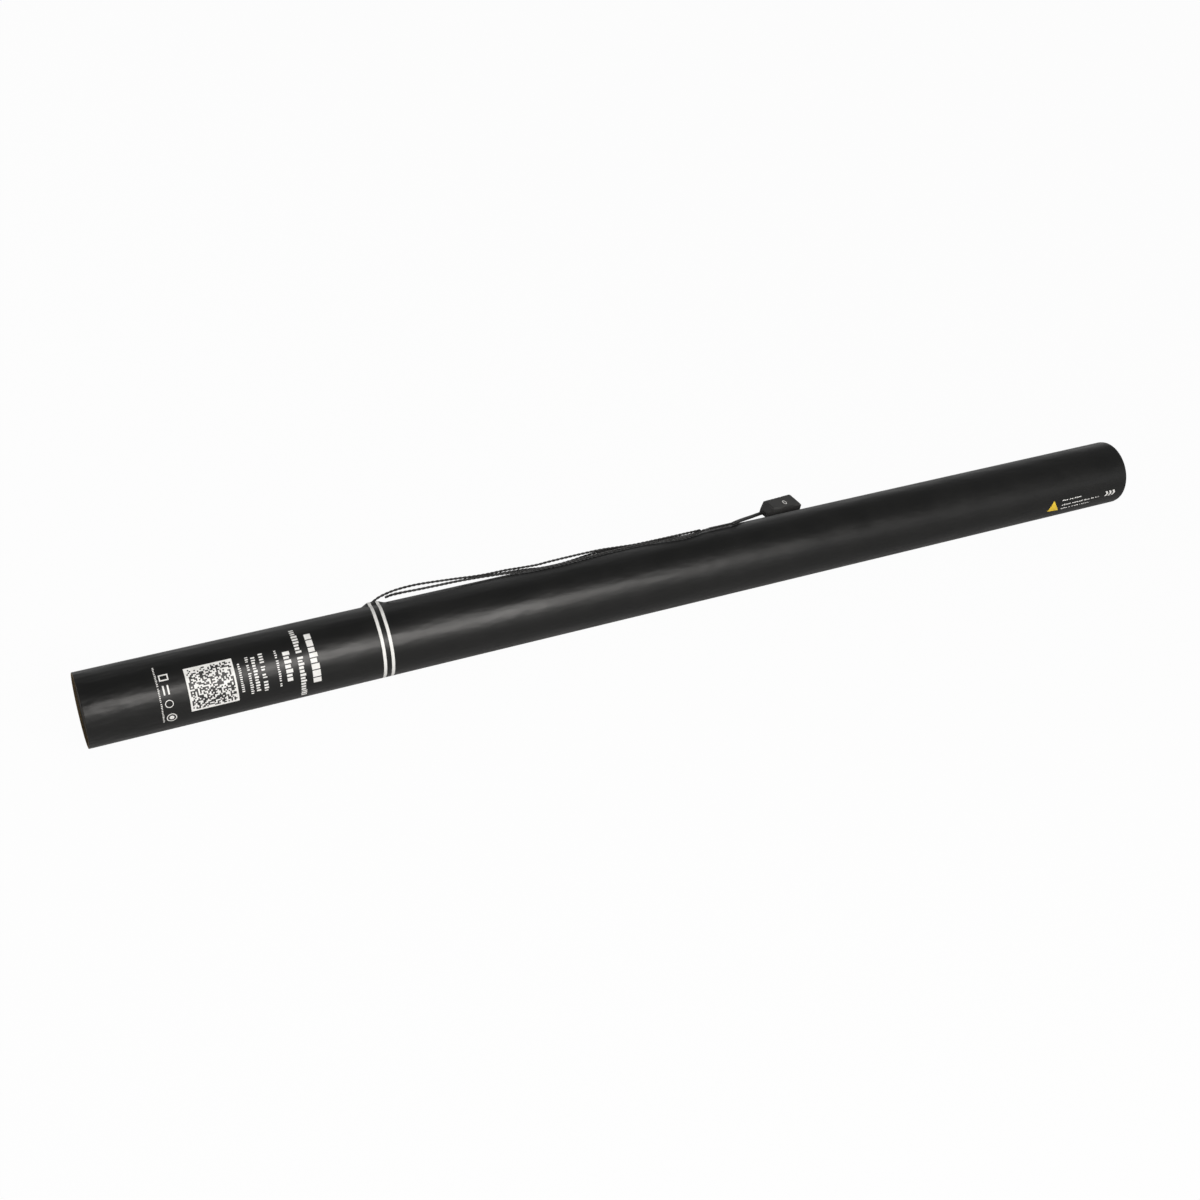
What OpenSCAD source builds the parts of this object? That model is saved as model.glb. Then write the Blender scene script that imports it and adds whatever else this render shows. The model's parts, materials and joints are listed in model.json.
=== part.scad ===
// Hand-held confetti cannon: a black-wrapped paper tube, fired by an electric lead.
// The tube lies along X, breech at -X, muzzle at +X, and rests on the ground plane.
// Inside: gas bottle, valve, sear lever held by a nylon thread, wad and foil slips.

/* [Tube] */
// Length of the paper tube
tube_len = 799; // [700:1:1000]
// Bore of the paper tube
bore_d = 45.5; // [44.5:0.1:49]
// Wall of the paper tube
tube_wall = 1.25; // [1:0.05:2]
// Thickness of the black wrap round the tube
wrap_t = 0.25; // [0.2:0.05:0.5]
// Running gap between the bore and what slides in it
slide_gap = 0.25; // [0.15:0.05:0.4]
// Seat gap of every piece that is fixed inside another
seat_gap = 0.1; // [0.05:0.01:0.15]

/* [Breech] */
// How far the breech plug sits inside the tube's end
plug_recess = 1.5; // [1:0.1:3]
// Thickness of the breech plug's face
plug_face_t = 2.5; // [2:0.1:4]
// Depth of the breech plug's cup round the bottle
plug_cup_depth = 20; // [14:1:30]
// Thickness of the rubber pad under the bottle
pad_t = 3; // [2:0.1:4]

/* [Gas bottle] */
// Outside diameter of the bottle
bottle_d = 38; // [34:0.5:39]
// Wall of the bottle
bottle_wall = 2.2; // [1.6:0.1:3]
// Straight length of the bottle
bottle_body_len = 104; // [90:1:106]
// Diameter of the bottle's neck
neck_d = 17; // [15:0.5:18]
// Length of the neck beyond the shoulder
neck_len = 12; // [11:0.5:13]
// Width of the collar that centres the bottle
collar_w = 12; // [8:1:18]

/* [Valve] */
// Width of the valve's hexagon across its flats
hex_af = 24; // [23:0.5:27]
// Length of the hexagon
hex_len = 12; // [12:0.5:14]
// Diameter of the valve's round barrel
valve_d = 25; // [25:0.5:27]
// Diameter of the plunger's stem
stem_d = 5; // [4:0.1:5.5]
// How far the plunger travels when the valve opens
plunger_travel = 4.5; // [3:0.1:5]

/* [Sear] */
// Gap between the valve's front and the lever's rear face
stem_reach = 19; // [18:0.5:21]
// Height of the lever's pivot above the tube's axis
pivot_rise = 9; // [9:0.1:9.5]
// Thickness of the lever
lever_t = 4; // [3:0.1:4.5]
// Width of the lever's arm
lever_w = 6; // [5:0.1:6.5]
// Length of the lever below its pivot
lever_drop = 24; // [23.5:0.1:24.5]
// Diameter of the pivot pin
pin_d = 3; // [2.5:0.1:3.2]
// Thickness of the yoke's cheeks
cheek_t = 2.5; // [2:0.1:3]

/* [Load] */
// Length of one foil slip
slip_len = 55; // [50:1:60]
// Width of one foil slip
slip_w = 21.5; // [18:0.5:24]
// Thickness of the felt wad behind the slips
wad_t = 15; // [10:1:20]
// Turn from one bundle of slips to the next, in degrees
bundle_turn = 22.5; // [0:2.5:45]
// Depth of the muzzle cap inside the bore
cap_depth = 10; // [8:1:16]
// Thickness of the muzzle cap's rim
cap_rim_t = 1; // [0.8:0.1:2]
// Wall of the muzzle cap's skirt
cap_wall = 1.2; // [0.8:0.1:3]

/* [Firing lead] */
// Diameter of the twisted lead
lead_d = 1.6; // [1.4:0.1:1.8]
// Diameter of the sleeve over the lead's free end
sleeve_d = 2.6; // [2.3:0.1:2.7]
// Distance of the lead's way out from the breech
lead_exit_x = 194; // [193:1:195]
// Angle of the lead's line behind the top of the tube, in degrees
lead_angle = 31; // [28:1:34]
// Distance of the tape's edge from the breech
tape_x = 443; // [442.6:0.1:443.2]
// Width of the clear tape
tape_w = 18; // [16:0.5:18]

/* [Plug of the lead] */
// Length of the plug
plug_len = 26.5; // [24:0.5:30]
// Width of the plug at the lead's end
plug_w_rear = 11.8; // [11:0.1:12.5]
// Width of the plug at its contacts
plug_w_front = 15.2; // [13:0.1:16]
// Height of the plug
plug_h = 8.8; // [8:0.1:9]

/* [Hidden] */

// Cuts run this far past the faces that they open
overrun = 1;
deg_per_rad = 180 / PI;
round_fn = 96;
small_fn = 48;
hull_fn = 32;
fine_fn = 360;

// The tube and its line of pieces along X, measured from the breech
bore_r = bore_d / 2;
tube_r = bore_r + tube_wall;
body_r = tube_r + wrap_t;
overall_len = tube_len + cap_rim_t;
fixed_r = bore_r - seat_gap;
sliding_r = bore_r - slide_gap;

pad_x = plug_recess + plug_face_t;
bottle_x = pad_x + pad_t;
bottle_r = bottle_d / 2;
bottle_edge_r = 4;
shoulder_x = bottle_x + bottle_body_len;
neck_r = neck_d / 2;
neck_bore_r = 4;
neck_end_x = shoulder_x + bottle_r + neck_len;
collar_x = shoulder_x - collar_w;

gasket_t = 1.5;
thread_len = 10;
valve_x = neck_end_x - thread_len;
valve_r = valve_d / 2;
socket_r = neck_r + seat_gap;
passage_r = 3;
passage_len = 4;
seat_t = 2;
seat_r = 6;
seat_x = neck_end_x + gasket_t + passage_len;
chamber_r = 7;
head_r = 5;
head_t = 4;
groove_depth = 0.8;
groove_w = 1.6;
chamber_spare = 2.5;
chamber_len = head_t + plunger_travel + chamber_spare;
chamber_x = seat_x + seat_t;
guide_len = 3;
valve_end_x = chamber_x + chamber_len + guide_len;
washer_t = 1;
boss_r = 6;
boss_len = 3.5;
port_r = 2;
port_count = 4;
stem_r = stem_d / 2;
// Fit of the stem and the pin in their holes
run_gap = 0.05;

lever_x = valve_end_x + stem_reach;
stem_tip_x = lever_x - seat_gap;
pivot_x = lever_x + lever_t / 2;
pin_r = pin_d / 2;
hub_r = 4.5;
hub_w = 6;
side_gap = 0.3;
spring_wire_r = 0.4;
spring_turns = 4;
spring_pitch = 0.95;
spring_play = 1.3;
spring_r = pin_r + spring_wire_r + spring_play;
spring_room = spring_turns * spring_pitch + 2 * (spring_wire_r + seat_gap);
cheek_in = (hub_w + side_gap + spring_room + side_gap) / 2;
cheek_len = 14;
cheek_z0 = -4;
cheek_edge = 1;
cheek_z1 = pivot_rise + hub_r + cheek_edge;
lever_foot_z = pivot_rise - lever_drop;
eye_rise = 2.2;
eye_z = lever_foot_z + eye_rise;
eye_r = 0.6;
hub_y = -cheek_in + side_gap;
spring_y = hub_y + hub_w + side_gap + spring_wire_r;
arm_top = pivot_rise - spring_r - spring_wire_r - 2 * side_gap;
bar_x = pivot_x - 2 * hub_r;
bar_t = 2;

yoke_t = 3;
vent_angles = [30, 75, 120];
vent_r = 3;
vent_ring_r = 16;
yoke_screw_z = 9.5;
screw_r = 1.4;
screw_head_r = 2.6;
screw_head_t = 1.8;
screw_len = 6;
yoke_front_x = valve_end_x + yoke_t;

board_t = 1.2;
board_len = 14;
board_w = 17;
heater_r = 1.25;
heater_rise = 0.4;
// The thread lies this close to the heater
thread_gap = 0.02;
thread_r = 0.3;
heater_z = eye_z - thread_r - thread_gap - heater_r;
board_top = heater_z - heater_r - heater_rise;
shelf_t = 2;
shelf_len = 16;
shelf_w = 19;
board_gap = 1;
board_x = yoke_front_x + board_gap;
board_screw_y = 6.6;
board_screw_in = 2.6;
board_screw_x = board_x + board_screw_in;
board_screw_r = 0.9;
board_screw_head_r = 1.7;
board_screw_head_t = 1.1;
heater_len = 6;
heater_in = 6;
heater_x = board_x + heater_in;
leg_r = 0.3;
leg_y = heater_len / 2 - 2 * leg_r;
burn_x = heater_x + heater_r;
knot_r = 0.9;
block_len = 5;
block_w = 4;
block_h = 3.4;
block_edge = 0.6;
block_x = board_x + board_len - block_len - block_edge;
block_y = board_w / 2 - block_w;

baffle_reach = 20.5;
baffle_x = lever_x + baffle_reach;
baffle_t = 3;
// Rings of holes in the baffle disc: how many, and their radius as a share of the disc's
hole_shares = [[6, 0.26], [12, 0.55], [16, 0.82]];
baffle_hole_r = 2;
wad_gap = 1;
wad_x = baffle_x + baffle_t + wad_gap;
first_bundle_x = wad_x + wad_t + side_gap;
cap_inner_x = tube_len - cap_depth;
least_pad_t = 8;
bundle_step = slip_len + side_gap;
bundle_count = floor((cap_inner_x - first_bundle_x - least_pad_t) / bundle_step);
front_pad_x = first_bundle_x + bundle_count * bundle_step;
front_pad_t = cap_inner_x - side_gap - front_pad_x;
stack_gap = 0.8;
stack_h = 2 * sqrt(pow(bore_r - stack_gap, 2) - pow(slip_w / 2, 2));
band_w = 14;
band_t = 0.2;
band_gap = 0.05;
slip_colours = ["green", "red", "purple", "gold", "lightsteelblue", "royalblue", "silver"];

// The hump of the wrap over the lead's way out
hump_rise = 2.1;
hump_back = 8.5;
hump_front = 9;
hump_half_w = 5.5;
hump_top_len = 6;
hump_top_r = 1.4;
glue_r = 4.8;
glue_top_r = 1.5;
glue_rise = 1.2;
glue_depth = 0.6;
exit_slope = 30;
exit_rise = 2.4;
tunnel_gap = 0.2;
tunnel_r = lead_d / 2 + tunnel_gap;
tunnel_len = 24;
exit_reach = 1.5;
exit_x = lead_exit_x + exit_reach;

// Route of the lead: distance from the breech, way across the tube, rise above the wrap
hank_route = [[195.5, 0, 2.4], [199.5, 0, 4.1], [206, 0, 5.6], [212, 0, 6.4], [219, 0, 6.8],
    [227, 0, 6.8], [236, 0, 6.3], [247, 0, 5.5], [257, 0, 4.7], [266, 0, 3.9], [276, 0, 3.4],
    [289, 0, 3.3], [300, 0, 2.7], [312, 0, 2.2], [321, 0.3, 2.5], [330, 0.5, 2.7], [345, 1, 2.9],
    [361, 1, 2.8], [375, 1, 1.9], [387, 0, 1.1], [400, -1, 1], [418, -1.4, 1], [430, -0.2, 1],
    [436.4, 0.1, 1], [439.4, 1.3, 1], [440.6, 4.3, 1], [439.4, 7.3, 1], [436.4, 8.5, 1], [428, 8.5, 1],
    [405, 6.4, 1], [387, 5.5, 1], [373, 5, 1.6], [361, 4.6, 2], [352, 5.2, 1.7], [341, 7.4, 1.1],
    [330, 9, 1], [318, 8.4, 1], [308, 6, 1.3], [300, 4.8, 1.7], [289, 4.6, 2.2], [275, 4.8, 2.8],
    [264, 5, 3.4], [254, 5, 3.7], [242, 5, 3.8], [231, 5, 4], [219, 5.1, 4.3], [213, 5.2, 4.3],
    [208.3, 5.1, 4.2], [205.3, 3.9, 3.6], [204.1, 1, 3.1], [205.3, -2, 3.5], [208.3, -3.2, 4.1],
    [212, -3.3, 4.1], [218, -3.2, 3.9],
    [226, -3, 3.6], [247, -3, 3.4], [263, -3, 2.9], [275, -3.2, 2.2], [289, -5, 1.4], [305, -8.2, 1],
    [328, -9.2, 1], [345, -7.6, 1], [361, -5.8, 1], [387, -5.2, 1], [403, -8, 1], [418, -11.2, 1],
    [430, -9.6, 1], [437, -7, 1.2], [440, -6.5, 1.3], [443, -6.5, 1.3], [449, -6.5, 1.3],
    [455, -6.5, 1.3], [461.5, -6.5, 1.35]];
tail_route = [[461.6, -6.5, 1.5], [464, -6.1, 1.5], [468.7, -3.4, 1.5], [476.5, 1.2, 1.9],
    [484.2, 5.3, 3], [491.3, 8.5, 4.7]];
inner_route = [[195.5, 0, 2.4], [190.3, 0, -0.6], [185.1, 0, -3.6], [180.5, 1, -5.7],
    [177, 6, -6.2], [175, 16, -6], [175, 28, -5.8], [177, 38, -5.4]];
lead_sides = 8;
lead_step = 4 * lead_d;
lead_fine_step = 1.4 * lead_d;
// Straight run of the lead where it meets the terminal block, and at the plug
straight_run = 3;
plug_run = 1;

tape_t = 0.12;
tape_from = -45;
tape_to = 80;
tape_gap = 0.04;
tape_side = -6.5;
tape_rise = 1.4;

// The plug hangs behind the tube's shoulder on the end of the lead
plug_place = [502.6, 10, 7.8];
plug_yaw = 9.5;
plug_pitch = 6;
plug_roll = 10.5;
plug_edge = 1;
plug_corner_r = 1.2;
// The sleeve goes in below the middle of the plug's rear face, through a wedge-shaped boot
cable_drop = 2.4;
boot_len = 3.4;
boot_inset = 0.5;
boot_tip_w = 7.8;
boot_tip_h = 3.6;
boot_t = 0.6;
contact_y = 3;
contact_r = 1.7;
contact_bore_r = 1.25;
contact_len = 14;
contact_set_back = 0.5;
grip_x = 5.5;
grip_step = 3.6;
grip_count = 4;
grip_w = 1.8;
grip_depth = 1.6;
scoop_x = 13;
scoop_r = 30;
scoop_depth = 0.9;

// Lays the model out with the middle of its length at X = 0 and its lowest line at Z = 0
module place() translate([-overall_len / 2, 0, body_r]) children();

// Turns a shape that was drawn along Z so that it lies along X, starting at x
module along(x) translate([x, 0, 0]) rotate([0, 90, 0]) children();

module rod(x, length, radius, fn = small_fn) along(x) cylinder(h = length, r = radius, $fn = fn);

module pipe(x, length, outer, inner, fn = round_fn) difference() {
    rod(x, length, outer, fn);
    rod(x - overrun, length + 2 * overrun, inner, fn);
}

// Turns its children about the tube's axis, by an angle from the top towards the back
module turned(angle) rotate([-angle, 0, 0]) children();

function unit(v) = v / norm(v);

function lead_point(p) =
    let (angle = lead_angle + p[1] / body_r * deg_per_rad, r = body_r + p[2])
    [p[0], r * sin(angle), r * cos(angle)];

function spline(a, b, c, d, t) =
    0.5 * (2 * b + (c - a) * t + (2 * a - 5 * b + 4 * c - d) * t * t
        + (3 * b - a - 3 * c + d) * t * t * t);

// A smooth line through the points, with a ring about every step
function smooth(points, coarse, fine) =
    let (last = len(points) - 1)
    concat([for (i = [0 : last - 1])
        let (a = points[max(i - 1, 0)], b = points[i], c = points[i + 1], d = points[min(i + 2, last)],
            bend = norm(unit(c - b) - unit(b - a + (i == 0 ? c - b : [0, 0, 0]))),
            turn_out = norm(unit(d - c + (i == last - 1 ? c - b : [0, 0, 0])) - unit(c - b)),
            step = max(bend, turn_out) > 0.3 ? fine : coarse,
            count = max(1, ceil(norm(c - b) / step)))
        for (k = [0 : count - 1]) spline(a, b, c, d, k / count)], [points[last]]);

function tangent(path, i) = unit(path[min(i + 1, len(path) - 1)] - path[max(i - 1, 0)]);

// One closed tube of triangles round a path; up is a direction that the path never takes
module swept_tube(path, radius, sides, ups) {
    rings = [for (i = [0 : len(path) - 1])
        let (t = tangent(path, i), u = unit(ups[i] - t * (ups[i] * t)), v = cross(t, u))
        for (k = [0 : sides - 1]) path[i] + radius * (cos(360 * k / sides) * u + sin(360 * k / sides) * v)];
    last = (len(path) - 1) * sides;
    walls = [for (i = [0 : len(path) - 2]) for (k = [0 : sides - 1])
        let (a = i * sides + k, b = i * sides + (k + 1) % sides, c = a + sides, d = b + sides)
        each [[a, b, d], [a, d, c]]];
    caps = [for (k = [1 : sides - 2]) each [[0, k + 1, k], [last, last + k, last + k + 1]]];
    polyhedron(points = rings, faces = [for (f = concat(walls, caps)) [f[0], f[2], f[1]]], convexity = 10);
}

function radial(path) = [for (p = path) unit([0, p[1], p[2]])];

// Least free gap between stretches of one tube that lie further apart along it than three diameters
function least_gap(path, diameter) =
    min([for (i = [0 : len(path) - 2]) for (j = [i + 1 : len(path) - 1])
        if (norm(path[i] - path[j]) < 4 * diameter && run_between(path, i, j) > 3 * diameter)
        norm(path[i] - path[j]) - diameter]);
function run_between(path, i, j, sum = 0) =
    i >= j ? sum : run_between(path, i + 1, j, sum + norm(path[i + 1] - path[i]));
function path_length(path) = run_between(path, 0, len(path) - 1);

hank_path = smooth([for (p = hank_route) lead_point(p)], lead_step, lead_fine_step);
plug_dir = [cos(plug_yaw) * cos(plug_pitch), sin(plug_yaw) * cos(plug_pitch), -sin(plug_pitch)];
plug_up = [cos(plug_yaw) * sin(plug_pitch) * cos(plug_roll) + sin(plug_yaw) * sin(plug_roll),
    sin(plug_yaw) * sin(plug_pitch) * cos(plug_roll) - cos(plug_yaw) * sin(plug_roll),
    cos(plug_pitch) * cos(plug_roll)];
tail_ends = [for (back = [boot_len + 2 * plug_run, boot_len + seat_gap, 0])
    lead_point(plug_place) - back * plug_dir - cable_drop * plug_up];
tail_path = smooth(concat([for (p = tail_route) lead_point(p)], tail_ends), lead_step, lead_fine_step);
inner_ends = [for (back = [2 * straight_run, straight_run, seat_gap])
    [block_x + block_len / 2, block_y + block_w + back, board_top + block_h / 2]];
inner_path = smooth(concat([for (p = inner_route) lead_point(p)], inner_ends), lead_step, lead_fine_step);
echo("least gap of the hank to itself, mm", least_gap(hank_path, lead_d));
echo("length of the hank and tail, mm", path_length(hank_path), path_length(tail_path));
echo("bundles of slips", bundle_count, "front pad, mm", front_pad_t);

// The slanted way out of the lead through wall, glue and wrap
module lead_tunnel() turned(lead_angle)
    translate([exit_x, 0, body_r + exit_rise]) rotate([0, 90 - exit_slope, 0])
    translate([0, 0, -tunnel_len]) cylinder(h = tunnel_len + 2 * overrun, r = tunnel_r, $fn = small_fn);

// The hump over the lead; inset leaves room for the wrap on top of the glue
module hump(inset) turned(lead_angle) hull() {
    for (x = [-hump_top_len / 2, hump_top_len / 2])
        translate([lead_exit_x + x, 0, body_r + hump_rise - hump_top_r])
        sphere(r = hump_top_r - inset, $fn = hull_fn);
    translate([lead_exit_x - hump_back + inset, -hump_half_w + inset, tube_r - hump_top_r - inset])
        cube([hump_back + hump_front - 2 * inset, 2 * (hump_half_w - inset), hump_top_r - wrap_t]);
}

module barrel_tube() color("peru") place() difference() {
    pipe(0, tube_len, tube_r, bore_r);
    lead_tunnel();
}

module outer_wrap() color([0.14, 0.14, 0.14]) place() difference() {
    union() {
        pipe(0, tube_len, body_r, tube_r);
        difference() {
            hump(0);
            rod(lead_exit_x - 2 * hump_back, 4 * hump_back, tube_r, round_fn);
        }
    }
    hump(wrap_t);
    lead_tunnel();
}

module exit_glue() color([0.7, 0.68, 0.6]) place() difference() {
    turned(lead_angle) translate([lead_exit_x, 0, tube_r - glue_depth])
        cylinder(h = glue_depth + glue_rise, r1 = glue_r, r2 = glue_top_r, $fn = fine_fn);
    rod(lead_exit_x - 2 * hump_back, 4 * hump_back, tube_r, fine_fn);
    lead_tunnel();
}

module breech_plug() color([0.1, 0.1, 0.1]) place() difference() {
    rod(plug_recess, plug_face_t + plug_cup_depth, fixed_r, round_fn);
    rod(pad_x, plug_cup_depth + overrun, bottle_r + seat_gap, round_fn);
}

module bottle_pad() color([0.2, 0.2, 0.2]) place() rod(pad_x, pad_t, bottle_r - bottle_edge_r, round_fn);

// The bottle's solid, drawn in by inset for its hollow
module bottle_form(inset) {
    edge = bottle_edge_r - inset / 2;
    along(bottle_x + inset) rotate_extrude($fn = round_fn) {
        square([bottle_r - inset - edge, bottle_body_len - inset]);
        translate([0, edge]) square([bottle_r - inset, bottle_body_len - inset - edge]);
        intersection() {
            translate([bottle_r - inset - edge, edge]) circle(r = edge, $fn = small_fn);
            square([bottle_r - inset, edge]);
        }
    }
    translate([shoulder_x, 0, 0]) rotate([0, 90, 0]) sphere(r = bottle_r - inset, $fn = round_fn);
}

module gas_bottle() color("silver") place() difference() {
    union() {
        bottle_form(0);
        rod(shoulder_x, neck_end_x - shoulder_x, neck_r);
    }
    bottle_form(bottle_wall);
    rod(shoulder_x, neck_end_x - shoulder_x + overrun, neck_bore_r);
}

module bottle_collar() color([0.85, 0.85, 0.8]) place()
    pipe(collar_x, collar_w, fixed_r, bottle_r + seat_gap);

module valve_body() color([0.78, 0.62, 0.28]) place() difference() {
    union() {
        along(valve_x) rotate([0, 0, 30]) cylinder(h = hex_len, r = hex_af / sqrt(3), $fn = 6);
        rod(valve_x + hex_len - washer_t, valve_end_x - valve_x - hex_len + washer_t, valve_r);
        rod(valve_end_x, boss_len, boss_r);
    }
    rod(valve_x - overrun, thread_len + gasket_t + overrun, socket_r);
    rod(neck_end_x, passage_len + gasket_t + overrun, passage_r);
    rod(seat_x, seat_t + overrun, seat_r + seat_gap);
    rod(chamber_x, chamber_len, chamber_r);
    rod(chamber_x, chamber_len + guide_len + boss_len + overrun, stem_r + run_gap);
    for (k = [0 : port_count - 1]) turned(45 + k * 360 / port_count)
        translate([chamber_x + chamber_len / 2, 0, 0]) cylinder(h = valve_d, r = port_r, $fn = small_fn);
    for (z = [-yoke_screw_z, yoke_screw_z]) translate([0, 0, z])
        rod(valve_end_x - screw_len, screw_len + overrun, screw_r + run_gap);
}

module valve_gasket() color([0.15, 0.15, 0.15]) place()
    pipe(neck_end_x, gasket_t, neck_r - seat_gap, passage_r, small_fn);

module valve_seat() color("white") place() pipe(seat_x, seat_t, seat_r, passage_r, small_fn);

module valve_plunger() color("gainsboro") place() difference() {
    union() {
        rod(chamber_x, head_t, head_r);
        rod(chamber_x, stem_tip_x - stem_r - chamber_x, stem_r);
        translate([stem_tip_x - stem_r, 0, 0]) rotate([0, 90, 0]) sphere(r = stem_r, $fn = small_fn);
    }
    pipe(chamber_x + (head_t - groove_w) / 2, groove_w, head_r + overrun, head_r - groove_depth, small_fn);
}

module plunger_ring() color([0.12, 0.12, 0.12]) place() along(chamber_x + head_t / 2)
    rotate_extrude($fn = small_fn)
    translate([head_r - groove_depth + groove_w / 2 + run_gap / 2, 0]) circle(r = groove_w / 2 - run_gap, $fn = small_fn);

module trigger_yoke() color([0.2, 0.2, 0.22]) place() difference() {
    union() {
        rod(valve_end_x, yoke_t, fixed_r, round_fn);
        for (side = [-1, 1]) translate([yoke_front_x, side * cheek_in - (side < 0 ? cheek_t : 0), cheek_z0])
            cube([pivot_x - yoke_front_x + cheek_len / 2, cheek_t, cheek_z1 - cheek_z0]);
        translate([yoke_front_x, -shelf_w / 2, board_top - board_t - shelf_t])
            cube([shelf_len, shelf_w, shelf_t]);
        translate([bar_x - bar_t, -cheek_in, pivot_rise + spring_r - spring_wire_r - run_gap - bar_t])
            cube([bar_t, 2 * cheek_in, bar_t]);
    }
    rod(valve_end_x - overrun, yoke_t + 2 * overrun, boss_r + seat_gap);
    for (side = [-1, 1]) for (angle = vent_angles) turned(side * angle) translate([0, 0, vent_ring_r])
        rod(valve_end_x - overrun, yoke_t + 2 * overrun, vent_r);
    for (z = [-yoke_screw_z, yoke_screw_z]) translate([0, 0, z])
        rod(valve_end_x - overrun, yoke_t + 2 * overrun, screw_r + run_gap);
    translate([pivot_x, -fixed_r, pivot_rise]) rotate([-90, 0, 0])
        cylinder(h = 2 * fixed_r, r = pin_r + run_gap, $fn = small_fn);
    for (y = [-board_screw_y, board_screw_y]) translate([board_screw_x, y, board_top - board_t - shelf_t - overrun])
        cylinder(h = shelf_t + 2 * overrun, r = board_screw_r + run_gap, $fn = small_fn);
}

module yoke_screws() color("lightgrey") place() for (z = [-yoke_screw_z, yoke_screw_z]) translate([0, 0, z]) {
    rod(yoke_front_x - screw_len, screw_len, screw_r);
    difference() {
        rod(yoke_front_x, screw_head_t, screw_head_r);
        along(yoke_front_x + screw_head_t / 2) cylinder(h = screw_head_t, r = screw_r, $fn = 6);
    }
}

module sear_lever() color([0.75, 0.75, 0.78]) place() difference() {
    union() {
        translate([pivot_x, hub_y, pivot_rise]) rotate([-90, 0, 0]) cylinder(h = hub_w, r = hub_r, $fn = small_fn);
        translate([lever_x, -lever_w / 2, lever_foot_z]) cube([lever_t, lever_w, arm_top - lever_foot_z]);
        translate([lever_x, -lever_w / 2, lever_foot_z])
            cube([lever_t, hub_y + hub_w + lever_w / 2, lever_drop]);
    }
    translate([pivot_x, -cheek_in, pivot_rise]) rotate([-90, 0, 0])
        cylinder(h = 2 * cheek_in, r = pin_r + run_gap, $fn = small_fn);
    translate([0, 0, eye_z]) rod(lever_x - overrun, lever_t + 2 * overrun, eye_r);
}

module pivot_pin() color("dimgrey") place() translate([pivot_x, -cheek_in - cheek_t - side_gap, pivot_rise])
    rotate([-90, 0, 0]) cylinder(h = 2 * (cheek_in + cheek_t + side_gap), r = pin_r, $fn = small_fn);

// A torsion spring beside the lever's hub: one leg pushes the arm, the other lies on the yoke's bar
spring_seg = 12;
module lever_spring() color([0.6, 0.6, 0.62]) place() {
    steps = (spring_turns - 1) * spring_seg + spring_seg / 4 * 3;
    turns = [for (k = [0 : steps])
        let (a = 180 - 360 * k / spring_seg)
        [pivot_x + spring_r * cos(a), spring_y + spring_pitch * k / spring_seg, pivot_rise + spring_r * sin(a)]];
    last = turns[steps];
    leg_x = lever_x - spring_wire_r - run_gap;
    path = concat([[leg_x, spring_y, stem_r + spring_wire_r], [leg_x, spring_y, (pivot_rise + stem_r) / 2]],
        turns, [for (x = [bar_x, bar_x - bar_t]) [x, last[1], last[2]]]);
    swept_tube(path, spring_wire_r, 6, [for (p = path) [0, 1, 0]]);
}

module trigger_board() color("seagreen") place() difference() {
    translate([board_x, -board_w / 2, board_top - board_t]) cube([board_len, board_w, board_t]);
    for (y = [-board_screw_y, board_screw_y]) translate([board_screw_x, y, board_top - board_t - overrun])
        cylinder(h = board_t + 2 * overrun, r = board_screw_r + run_gap, $fn = small_fn);
}

module board_screws() color("lightgrey") place()
    for (y = [-board_screw_y, board_screw_y]) translate([board_screw_x, y, board_top - board_t - shelf_t]) {
        cylinder(h = shelf_t + board_t, r = board_screw_r, $fn = small_fn);
        translate([0, 0, shelf_t + board_t]) cylinder(h = board_screw_head_t, r = board_screw_head_r, $fn = small_fn);
    }

module heater() color("tan") place() {
    translate([heater_x, -heater_len / 2, heater_z]) rotate([-90, 0, 0])
        cylinder(h = heater_len, r = heater_r, $fn = small_fn);
    for (y = [-leg_y, leg_y]) translate([heater_x, y, board_top])
        cylinder(h = heater_z - board_top, r = leg_r, $fn = small_fn);
}

module fuse_thread() color("ivory") place() translate([0, 0, eye_z])
    rod(yoke_front_x, burn_x - run_gap - yoke_front_x, thread_r);

module thread_loop() color("ivory") place() translate([0, 0, eye_z]) {
    rod(burn_x, lever_x + lever_t - burn_x + knot_r, thread_r);
    translate([lever_x + lever_t + knot_r, 0, 0]) sphere(r = knot_r, $fn = small_fn);
}

module terminal_block() color("forestgreen") place()
    translate([block_x, block_y, board_top]) cube([block_len, block_w, block_h]);

module inner_lead() color([0.2, 0.2, 0.2]) place()
    swept_tube(inner_path, lead_d / 2, lead_sides, radial(inner_path));

module baffle_disc() color("burlywood") place() difference() {
    rod(baffle_x, baffle_t, fixed_r, round_fn);
    for (ring = hole_shares) for (k = [0 : ring[0] - 1])
        turned(k * 360 / ring[0]) translate([0, 0, ring[1] * fixed_r])
        rod(baffle_x - overrun, baffle_t + 2 * overrun, baffle_hole_r);
}

module wad() color("lightgrey") place() rod(wad_x, wad_t, sliding_r, round_fn);

// One stack of slips on edge, with its long side along the tube
module bundle(i) translate([first_bundle_x + i * bundle_step, 0, 0]) rotate([i * bundle_turn, 0, 0])
    translate([0, -slip_w / 2, -stack_h / 2]) cube([slip_len, slip_w, stack_h]);

module slips(colour) color(slip_colours[colour]) place()
    for (i = [colour : len(slip_colours) : bundle_count - 1]) bundle(i);

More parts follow.
